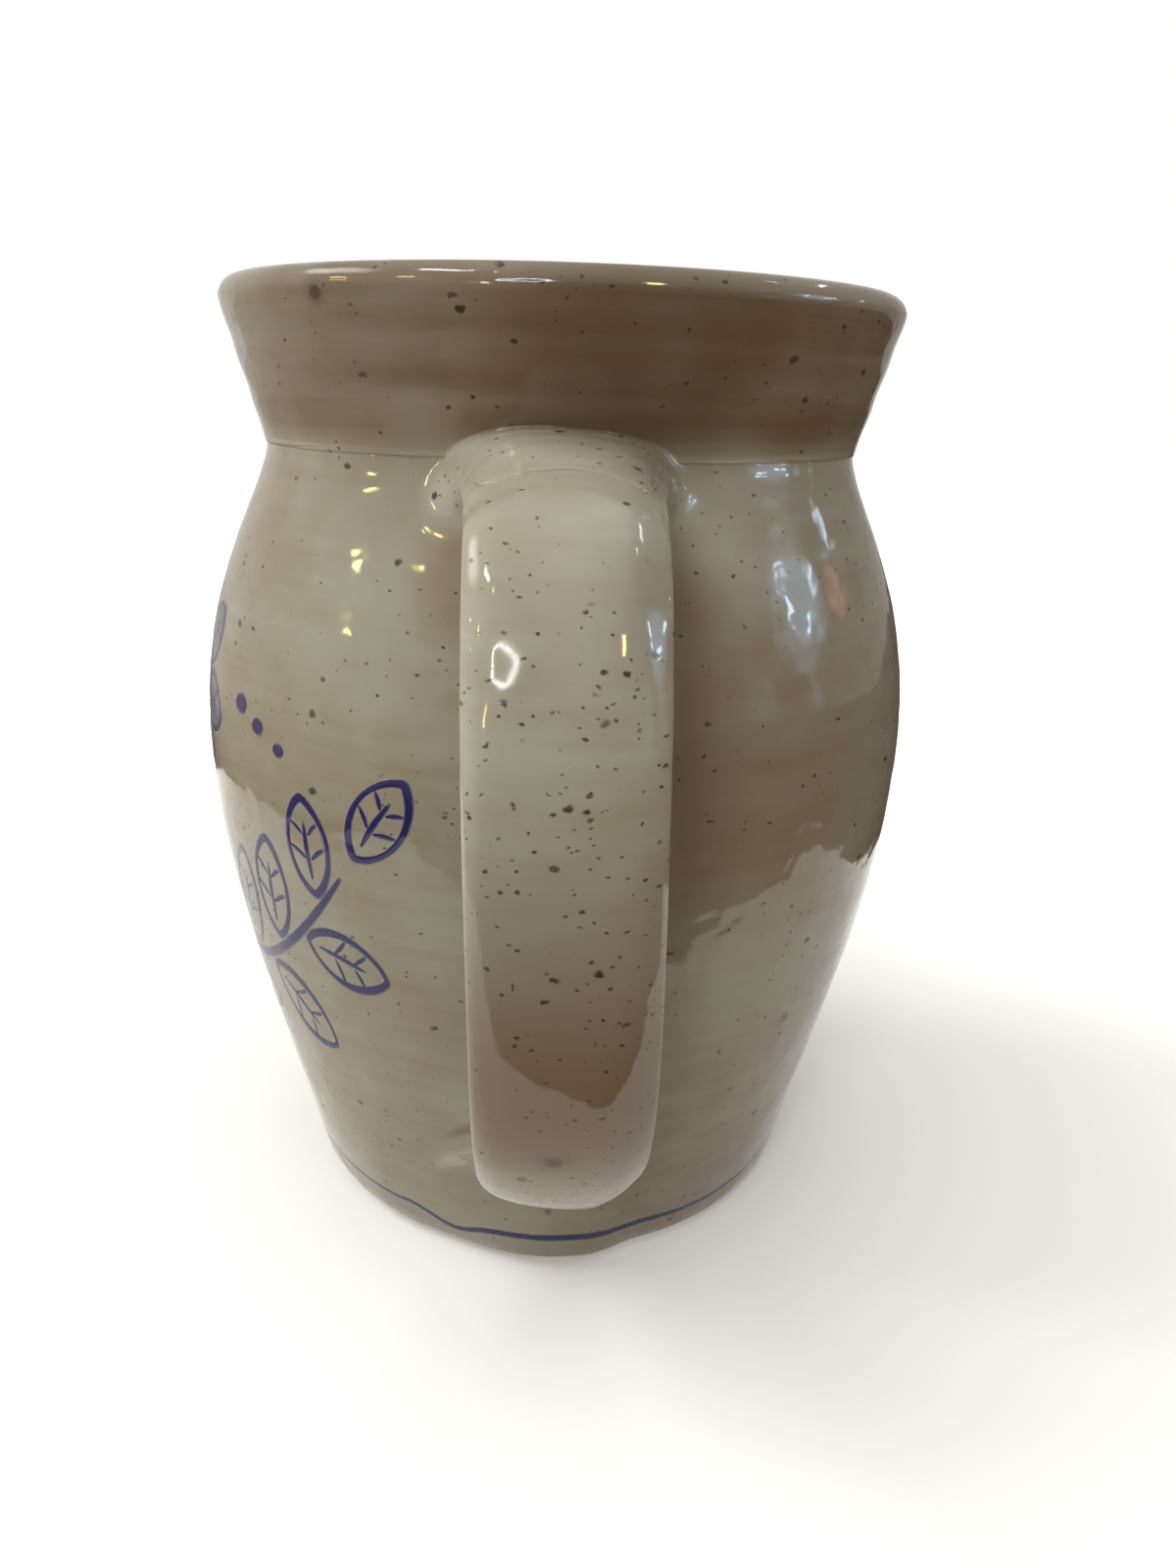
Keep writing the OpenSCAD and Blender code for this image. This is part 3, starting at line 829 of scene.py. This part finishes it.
class Graph:
    """Short names for making and linking the nodes of one material."""

    def __init__(self, name):
        self.material = bpy.data.materials.new(name)
        self.material.use_nodes = True
        self.tree = self.material.node_tree
        self.shader = self.tree.nodes["Principled BSDF"]

    def add(self, kind, inputs=(), **settings):
        made = self.tree.nodes.new("ShaderNode" + kind)
        for key, value in settings.items():
            setattr(made, key, value)
        for key, value in dict(inputs).items():
            self.put(value, made.inputs[key])
        return made

    def put(self, value, socket):
        if isinstance(value, bpy.types.NodeSocket):
            self.tree.links.new(value, socket)
        else:
            socket.default_value = value

    def set(self, name, value):
        self.put(value, self.shader.inputs[name])

    def here(self):
        """The place that is shaded, in the object's own space."""
        return self.add("TexCoord").outputs["Object"]

    def split(self, vector):
        return self.add("SeparateXYZ", {0: vector}).outputs

    def attribute(self, name):
        return self.add("Attribute", attribute_name=name).outputs["Fac"]

    def math(self, operation, a, b=0.0, c=0.0):
        return self.add("Math", {0: a, 1: b, 2: c}, operation=operation).outputs[0]

    def times(self, a, b):
        return self.math("MULTIPLY", a, b)

    def vector(self, operation, a, b, output=0):
        return self.add("VectorMath", {0: a, 1: b}, operation=operation).outputs[output]

    def distance(self, a, b):
        return self.vector("DISTANCE", a, b, "Value")

    def ramp(self, value, low, high, start=0.0, end=1.0):
        inputs = {"Value": value, "From Min": low, "From Max": high, "To Min": start, "To Max": end}
        return self.add("MapRange", inputs, interpolation_type="SMOOTHSTEP").outputs["Result"]

    def blend(self, share, a, b):
        return self.add("Mix", {0: share, 6: a, 7: b}, data_type="RGBA").outputs[2]

    def noise(self, vector, scale, detail=2.0):
        return self.add("TexNoise", {"Vector": vector, "Scale": scale, "Detail": detail}).outputs["Fac"]

    def stretched(self, vector, scale):
        return self.add("Mapping", {"Vector": vector, "Scale": scale}).outputs[0]

    def specks(self, vector, per_metre, radius, share):
        """Soft spots with a random size and depth in some of the cells of a grid, and 0 between them."""
        cells = self.add("TexVoronoi", {"Vector": vector, "Scale": per_metre})
        pick = self.add("SeparateColor", {"Color": cells.outputs["Color"]})
        size = self.math("MULTIPLY_ADD", pick.outputs[0], 0.75 * radius, 0.3 * radius)
        inner = self.times(size, 0.55)
        depth = self.math("MULTIPLY_ADD", pick.outputs[2], 0.35, 0.65)
        spot = self.ramp(cells.outputs["Distance"], inner, size, depth, 0.0)
        there = self.math("LESS_THAN", pick.outputs[1], share)
        return self.times(spot, there)


def clay_colour(g, place, height, strap):
    """Colour of the clay through the glaze: body, collar and strap, with patches of painted shade and
    painted light on it.
    """
    sideways = g.split(place)[0]
    mottle = g.noise(place, 26.0, 5.0)
    streak = g.noise(g.stretched(place, (14, 14, 330)), 1.0, 3.0)
    cloud = g.noise(g.stretched(place, (90, 90, 170)), 1.0, 6.0)
    tone = g.math("MULTIPLY_ADD", cloud, 0.35, g.math("MULTIPLY_ADD", streak, 0.3, mottle))
    tone = g.ramp(tone, 0.62, 1.08)
    colour = g.blend(tone, CLAY_GREY, CLAY_WARM)
    uneven = g.math("MULTIPLY_ADD", streak, 0.5, mottle)
    on_collar = g.times(g.ramp(height, *COLLAR_FROM), g.ramp(uneven, 0.50, 1.0, 0.5, 1.0))
    colour = g.blend(on_collar, colour, COLLAR_BROWN)
    lip = g.times(g.ramp(height, *LIP_FROM), g.ramp(sideways, -0.03, 0.03, 0.1, 0.5))
    colour = g.blend(lip, colour, CLAY_GREY)
    # Painted highlight along the seam, which pales the shade under the collar's bead
    from_seam = g.math("ABSOLUTE", g.math("SUBTRACT", height, NECK_Z * MM))
    colour = g.blend(g.ramp(from_seam, *SEAM_HIGHLIGHT_REACH, 0.5, 0.0), colour, PAINTED_LIGHT_CLAY)
    # The strap's lighter tones are painted light
    strap_colour = g.blend(tone, PAINTED_LIGHT_STRAP_GREY, PAINTED_LIGHT_STRAP_WARM)
    elbow = g.times(g.ramp(height, *ELBOW_FROM, 0.0, 0.45), g.ramp(height, *ELBOW_TO, 1.0, 0.0))
    strap_colour = g.blend(elbow, strap_colour, CLAY_WARM)
    # Painted shade: the strap darker towards its lower end, where it faces down
    low = g.times(g.ramp(height, *DARK_STRAP_FROM), g.ramp(height, *DARK_STRAP_TO, 0.5, 1.0))
    strap_colour = g.blend(low, strap_colour, PAINTED_SHADE_STRAP)
    colour = g.blend(strap, colour, strap_colour)
    # Patches of painted shade and painted light
    for (x, y, z), reach, upwards, most, patch_colour in PAINTED_SHADE_AND_LIGHT:
        away = g.distance(g.stretched(place, (1, 1, upwards)), (x, y, z * upwards))
        colour = g.blend(g.ramp(away, 0.25 * reach, reach, most, 0.0), colour, patch_colour)
    # Painted highlight on the thumb's ridge and painted shade in the crease above it
    wiped = g.attribute("wiped")
    colour = g.blend(g.ramp(wiped, 0.1, 1.1, 0.0, 0.65), colour, PAINTED_LIGHT_CLAY)
    return g.blend(g.ramp(wiped, -0.05, -0.6, 0.0, 0.75), colour, PAINTED_SHADE_CLAY)


def specked(g, colour, place, height, strap):
    """The colour with the iron specks on it, and the mask of the coarse ones."""
    shaken = g.add("TexNoise", {"Vector": place, "Scale": 700.0, "Detail": 1.0}).outputs["Color"]
    centred = g.vector("SUBTRACT", shaken, (0.5, 0.5, 0.5))
    nudge = g.add("VectorMath", {0: centred, "Scale": 0.0011}, operation="SCALE").outputs[0]
    moved = g.vector("ADD", place, nudge)
    flat = g.stretched(moved, (1, 1, 1.5))
    gathered = g.ramp(g.noise(place, 48.0, 1.0), 0.36, 0.64, 0.3, 1.4)
    share = g.times(g.math("MULTIPLY_ADD", strap, 0.7, 0.3), gathered)
    share = g.times(share, g.ramp(height, *COLLAR_FROM, 1.0, 0.8))
    fine = g.specks(flat, 470.0, 0.28, share)
    coarse = g.specks(flat, 190.0, 0.24, g.times(share, 0.85))
    halo = g.specks(moved, 58.0, 0.22, 0.22)
    rust = g.specks(moved, 58.0, 0.12, 0.22)
    colour = g.blend(g.times(halo, 0.22), colour, SPECK_RUST)
    colour = g.blend(g.times(fine, 0.9), colour, SPECK_DARK)
    colour = g.blend(g.times(coarse, 0.95), colour, SPECK_DARK)
    colour = g.blend(g.times(rust, 0.9), colour, SPECK_RUST)
    return colour, coarse


def stoneware(name, cobalt=False):
    """Glossy glaze over iron-specked clay, the same in every piece: it follows the object's space."""
    g = Graph(name)
    place = g.here()
    height = g.split(place)[2]
    strap = g.attribute("strap")
    colour = clay_colour(g, place, height, strap)
    colour, coarse = specked(g, colour, place, height, strap)
    if cobalt:
        brush = g.ramp(g.noise(place, 380.0, 3.0), 0.2, 0.8, 0.72, 1.12)
        ink = g.times(g.attribute("cobalt"), brush)
        colour = g.blend(g.ramp(ink, 0.0, 0.5), colour, COBALT_WASH)
        colour = g.blend(g.ramp(ink, 0.35, 0.82), colour, COBALT_DARK)
    bare = g.ramp(height, *BARE_TO, 1.0, 0.0)
    gloss = g.ramp(g.noise(place, 55.0, 3.0), 0.3, 0.7, 0.05, 0.11)
    swell = g.noise(place, 95.0, 2.0)
    peel = g.noise(place, 850.0, 2.0)
    relief = g.math("MULTIPLY_ADD", peel, 0.012, swell)
    wiping = g.times(g.ramp(g.distance(place, ROOT_MIDDLE), 0.012, 0.030, 0.3, 0.0), strap)
    relief = g.math("MULTIPLY_ADD", g.noise(g.stretched(place, (30, 330, 330)), 1.0), wiping, relief)
    pits = g.math("SUBTRACT", relief, g.times(coarse, 0.05))
    bump = g.add("Bump", {"Strength": 1.0, "Distance": 0.00035, "Height": pits})
    g.set("Base Color", g.blend(bare, colour, BARE_CLAY))
    g.set("Roughness", g.math("MAXIMUM", gloss, g.times(bare, 0.85)))
    g.set("Normal", bump.outputs[0])
    g.set("IOR", 1.5)
    return g.material


# Floor, light and camera

FLOOR_WHITE = (0.86, 0.86, 0.85, 1)
FLOOR_BOUNCE = (0.66, 0.60, 0.51, 1)
FLOOR_SHEEN = (0.26, 0.42, 0.55, 1)
TABLE_DIM = (0.62, 0.60, 0.55, 1)
ROOM_DARK = (0.085, 0.062, 0.045, 1)
ROOM_LEFT = (0.62, 0.58, 0.50, 1)
ROOM_BACK = (0.75, 0.74, 0.70, 1)
ROOM_RIGHT = (0.28, 0.255, 0.225, 1)
ROOM_CEILING = (0.45, 0.45, 0.44, 1)
WORLD_DIM = (0.115, 0.075, 0.050, 1)
WHITE = (1.0, 1.0, 1.0)
WARM = (1.0, 0.82, 0.30)
DAYLIGHT = (0.55, 0.78, 1.0)

# Sizes of the room in metres, and the table's edge in it as the glaze mirrors it
ROOM_R = 2.0
ROOM_FLOOR_SCALE = 14.0
ROOM_FLOOR_Z = 0.0004
TABLE_DIM_Z = 0.0002
TABLE_EDGE = (
    (-0.180, -0.205), (-0.110, -0.198), (-0.040, -0.163), (0.035, -0.143), (0.150, -0.107),
    (0.235, -0.070), (0.255, -0.040), (0.190, 0.062), (0.175, 0.135), (0.040, 0.405),
    (-0.255, 0.210), (-0.300, 0.100), (-0.250, -0.020), (-0.215, -0.150),
)
ONE_QUAD = [(0, 1, 2, 3)]

# What the lamps and windows face, and how far they are from it, in metres
LAMP_AIM = Vector((0, 0, 0.13))
LAMP_AWAY = 1.5


def stage_mesh(name, points, faces, material):
    mesh = bpy.data.meshes.new(name)
    mesh.from_pydata(points, [], faces)
    mesh.materials.append(material)
    obj = bpy.data.objects.new(name, mesh)
    bpy.context.scene.collection.objects.link(obj)
    return obj


def mirrored_mesh(name, points, faces, material):
    """A stage mesh that shows in reflections only."""
    obj = stage_mesh(name, points, faces, material)
    for ray in ("camera", "diffuse", "shadow", "transmission", "volume_scatter"):
        setattr(obj, "visible_" + ray, False)


def seen_directly(tree):
    """1 for what the camera sees, also in a reflection or through glass."""
    path = tree.nodes.new("ShaderNodeLightPath")
    total = path.outputs["Is Camera Ray"]
    for key in ("Is Glossy Ray", "Is Transmission Ray"):
        most = tree.nodes.new("ShaderNodeMath")
        most.operation = "MAXIMUM"
        tree.links.new(total, most.inputs[0])
        tree.links.new(path.outputs[key], most.inputs[1])
        total = most.outputs[0]
    return total


def floor_material():
    """Pale floor that keeps the shadow: part of its white is its own where the camera sees it."""
    g = Graph("floor_white")
    seen = seen_directly(g.tree)
    g.set("Base Color", g.blend(seen, FLOOR_BOUNCE, FLOOR_WHITE))
    g.set("Roughness", 0.9)
    g.set("Specular IOR Level", 0.0)
    g.set("Emission Color", (*WHITE, 1))
    white = g.ramp(g.distance(g.here(), (0, 0, 0)), 0.1, 0.42, 0.2, 1.0)
    g.set("Emission Strength", g.times(seen, white))
    return g.material


def light_graph(name, strength=1.0):
    """Graph of a material that is black but for the light that it gives."""
    g = Graph(name)
    g.set("Base Color", (0, 0, 0, 1))
    g.set("Specular IOR Level", 0.0)
    g.set("Emission Strength", strength)
    return g


def glow(name, colour, strength, fade=None):
    """Light of one colour, which can fade out from a middle along two directions as long as 1 / reach."""
    g = light_graph(name, strength)
    g.set("Emission Color", (*colour, 1))
    if fade:
        middle, across, up = fade
        offset = g.vector("SUBTRACT", g.here(), middle)
        x = g.vector("DOT_PRODUCT", offset, across, "Value")
        y = g.vector("DOT_PRODUCT", offset, up, "Value")
        away = g.math("SQRT", g.math("MULTIPLY_ADD", x, x, g.times(y, y)))
        g.set("Alpha", g.ramp(away, 0.2, 1.0, 1.0, 0.0))
    return g.material


def direction(azimuth, elevation):
    """Unit vector at an azimuth from the handle towards the sprig, and an elevation, in degrees."""
    a = math.radians(azimuth)
    e = math.radians(elevation)
    return Vector((-math.sin(a) * math.cos(e), -math.cos(a) * math.cos(e), math.sin(e)))


def make_floor():
    far = 4.0
    corners = [(-far, -far, 0), (far, -far, 0), (far, far, 0), (-far, far, 0)]
    stage_mesh("floor", corners, ONE_QUAD, floor_material())


def make_room_floor():
    """The room's floor from the table's edge on: dark, paler on the left and cooler on the right."""
    count = len(TABLE_EDGE)
    points = [(s * x, s * y, ROOM_FLOOR_Z) for s in (1.0, ROOM_FLOOR_SCALE) for x, y in TABLE_EDGE]
    faces = [(i, (i + 1) % count, count + (i + 1) % count, count + i) for i in range(count)]
    g = light_graph("room_floor")
    x, y, _ = g.split(g.here())
    floor = g.blend(g.ramp(x, -0.15, -0.5), ROOM_DARK, ROOM_LEFT)
    sheen = g.times(g.ramp(x, 0.45, 1.3), g.ramp(y, 0.3, -0.3, 0.0, 0.8))
    g.set("Emission Color", g.blend(sheen, floor, FLOOR_SHEEN))
    mirrored_mesh("room_floor", points, faces, g.material)


def make_table_dim():
    """A veil that dims the reflection of the table's left half."""
    corners = [(x, y, TABLE_DIM_Z) for x, y in ((-0.4, -0.3), (0.0, -0.3), (0.0, 0.5), (-0.4, 0.5))]
    g = light_graph("table_dim")
    x = g.split(g.here())[0]
    g.set("Emission Color", TABLE_DIM)
    g.set("Alpha", g.ramp(x, -0.03, -0.12, 0.0, 0.5))
    mirrored_mesh("table_dim", corners, ONE_QUAD, g.material)


def make_room_walls():
    """A dome round the table: dark in front, with other tones at the sides, behind and above."""
    rows = 24
    cols = 64
    ring = np.arange(cols) * TURN / cols
    rise = np.linspace(0, TURN / 4 - 0.01, rows)[:, None]
    sides = np.broadcast_arrays(np.cos(rise) * np.cos(ring), np.cos(rise) * np.sin(ring), np.sin(rise))
    points = ROOM_R * np.stack(sides, axis=-1).reshape(-1, 3)
    g = light_graph("room_walls")
    x, y, z = g.split(g.here())
    wall = g.blend(g.ramp(x, 0.4, -1.4), ROOM_DARK, ROOM_LEFT)
    wall = g.blend(g.ramp(y, -0.9, 0.4), wall, ROOM_BACK)
    wall = g.blend(g.ramp(x, 0.2, 1.4, 0.0, 0.85), wall, ROOM_RIGHT)
    g.set("Emission Color", g.blend(g.ramp(z, 0.9, 1.6), wall, ROOM_CEILING))
    mirrored_mesh("room_walls", points.tolist(), grid_faces(rows, cols).tolist(), g.material)


def lamp_axes(azimuth, elevation):
    """Middle of a lamp that faces the pot, and the directions to its right and up."""
    outward = direction(azimuth, elevation)
    right = Vector((0, 0, 1)).cross(outward).normalized()
    return LAMP_AIM + LAMP_AWAY * outward, right, outward.cross(right)


def make_panel(name, azimuth, elevation, width, height, colour, strength, soft=False):
    """A lit rectangle for the glaze to mirror; a soft one fades out to its sides."""
    middle, right, up = lamp_axes(azimuth, elevation)
    sides = ((-0.5, -0.5), (0.5, -0.5), (0.5, 0.5), (-0.5, 0.5))
    corners = [tuple(middle + x * width * right + y * height * up) for x, y in sides]
    fade = (middle, 2 / width * right, 2 / height * up) if soft else None
    mirrored_mesh(name, corners, ONE_QUAD, glow(name, colour, strength, fade))


def make_ring_lamp(name, azimuth, elevation, outer, inner, colour, strength):
    middle, right, up = lamp_axes(azimuth, elevation)
    count = 48
    points = []
    for k in range(count):
        a = TURN * k / count
        spoke = math.cos(a) * right + math.sin(a) * up
        points += [tuple(middle + outer * spoke), tuple(middle + inner * spoke)]
    total = len(points)
    faces = [(2 * k, (2 * k + 2) % total, (2 * k + 3) % total, 2 * k + 1) for k in range(count)]
    mirrored_mesh(name, points, faces, glow(name, colour, strength))


def make_area_light(name, place, target, size, power, colour):
    """A round light that the glaze doesn't mirror."""
    data = bpy.data.lights.new(name, "AREA")
    data.shape = "DISK"
    data.size = size
    data.energy = power
    data.color = colour
    obj = bpy.data.objects.new(name, data)
    obj.location = place
    obj.rotation_euler = (Vector(target) - Vector(place)).to_track_quat("-Z", "Y").to_euler()
    obj.visible_glossy = False
    bpy.context.scene.collection.objects.link(obj)


def make_lights():
    aim = (0, 0, 0.1)
    make_area_light("key_softbox", (-1.05, 0.1, 0.85), aim, 0.7, 10.5, (1.0, 1.0, 0.97))
    make_area_light("top_softbox", (0.0, -0.1, 1.3), aim, 1.4, 12.0, (0.97, 1.0, 0.99))
    make_area_light("front_softbox", (-0.33, -1.03, 0.63), aim, 0.34, 3.6, (1.0, 0.99, 0.95))
    make_area_light("right_fill", (1.1, -0.1, 0.45), aim, 0.8, 0.8, (1.0, 0.95, 0.88))
    make_panel("lamp_high", 76, 24.6, 0.08, 0.036, WARM, 45)
    make_panel("lamp_low", 73, 16.0, 0.08, 0.036, WARM, 45)
    make_panel("lamp_front", 53, 30, 0.045, 0.06, WARM, 45)
    make_panel("lamp_left", 26.5, 6, 0.06, 0.2, WARM, 30)
    make_panel("lamp_right", -27, 31, 0.1, 0.2, WARM, 30)
    make_panel("ceiling_white", 56, 57, 0.32, 0.12, WHITE, 25)
    make_panel("wall_pale", 97, 43, 1.1, 0.6, (1.0, 0.97, 0.92), 6, soft=True)
    make_panel("ceiling_warm", 30, 55, 0.04, 0.04, WARM, 40)
    make_ring_lamp("ring_lamp", 14, 24.5, 0.21, 0.165, WHITE, 28)
    make_panel("window_haze", -84, 15, 0.85, 0.8, DAYLIGHT, 3.2, soft=True)
    make_panel("window_strip", -85, 1, 0.22, 0.3, DAYLIGHT, 1.2, soft=True)
    make_panel("window_glow", -64, 3, 0.6, 0.45, DAYLIGHT, 0.9, soft=True)
    make_panel("wall_right", -64, 28, 1.0, 0.75, (0.92, 0.97, 1.0), 0.6, soft=True)
    make_panel("window_high", -120, 42, 0.30, 0.07, (0.85, 0.93, 1.0), 10)
    make_panel("window_small", -98, 50, 0.07, 0.07, (0.9, 0.95, 1.0), 15)
    make_panel("window_red", -105.5, 12.5, 0.22, 0.2, (1.0, 0.46, 0.42), 2.4, soft=True)
    make_panel("window_edge", -109, 18, 0.05, 0.04, DAYLIGHT, 14)
    panes = ((-80.5, 22.5), (-79.5, 18.5), (-88, 13), (-93, 17.5))
    for i, (azimuth, elevation) in enumerate(panes):
        make_panel(f"window_pane_{i}", azimuth, elevation, 0.07, 0.06, DAYLIGHT, 20)


def make_world():
    """White where the camera sees it, also in a reflection, and dim and warm as a light."""
    world = bpy.data.worlds.new("studio")
    world.use_nodes = True
    bpy.context.scene.world = world
    tree = world.node_tree
    background = tree.nodes["Background"]
    colour = tree.nodes.new("ShaderNodeMix")
    colour.data_type = "RGBA"
    tree.links.new(seen_directly(tree), colour.inputs[0])
    colour.inputs[6].default_value = WORLD_DIM
    colour.inputs[7].default_value = (*WHITE, 1)
    tree.links.new(colour.outputs[2], background.inputs["Color"])


# The camera's place, turns, lens and sensor
CAMERA_PLACE = (-4.6, -265.07, 167.85)
CAMERA_YAW = math.radians(2.55)
CAMERA_PITCH = math.radians(17.506)
CAMERA_ROLL = math.radians(1.53)
CAMERA_LENS = 28.8
CAMERA_SENSOR = 36.0


def make_camera():
    data = bpy.data.cameras.new("camera")
    data.lens = CAMERA_LENS
    data.sensor_width = CAMERA_SENSOR
    data.clip_start = 0.01
    ahead = Vector((math.sin(CAMERA_YAW), math.cos(CAMERA_YAW), 0))
    forward = math.cos(CAMERA_PITCH) * ahead - math.sin(CAMERA_PITCH) * Vector((0, 0, 1))
    right = Vector((math.cos(CAMERA_YAW), -math.sin(CAMERA_YAW), 0))
    up = right.cross(forward)
    c = math.cos(CAMERA_ROLL)
    s = math.sin(CAMERA_ROLL)
    right, up = c * right + s * up, c * up - s * right
    obj = bpy.data.objects.new("camera", data)
    turn = Matrix((right, up, -forward)).transposed().to_4x4()
    obj.matrix_world = Matrix.Translation(Vector(CAMERA_PLACE) * MM) @ turn
    bpy.context.scene.collection.objects.link(obj)
    bpy.context.scene.camera = obj


def main():
    make_camera()
    clay = stoneware("stoneware")
    cobalt = stoneware("cobalt_on_stoneware", cobalt=True)
    make_body(clay)
    make_collar(clay)
    make_strap(clay)
    make_root(clay)
    make_tail(clay)
    make_lining(clay)
    make_band(cobalt)
    make_sprig(cobalt)
    make_floor()
    make_room_floor()
    make_table_dim()
    make_room_walls()
    make_lights()
    make_world()
    bpy.context.scene.view_settings.view_transform = "Standard"


main()
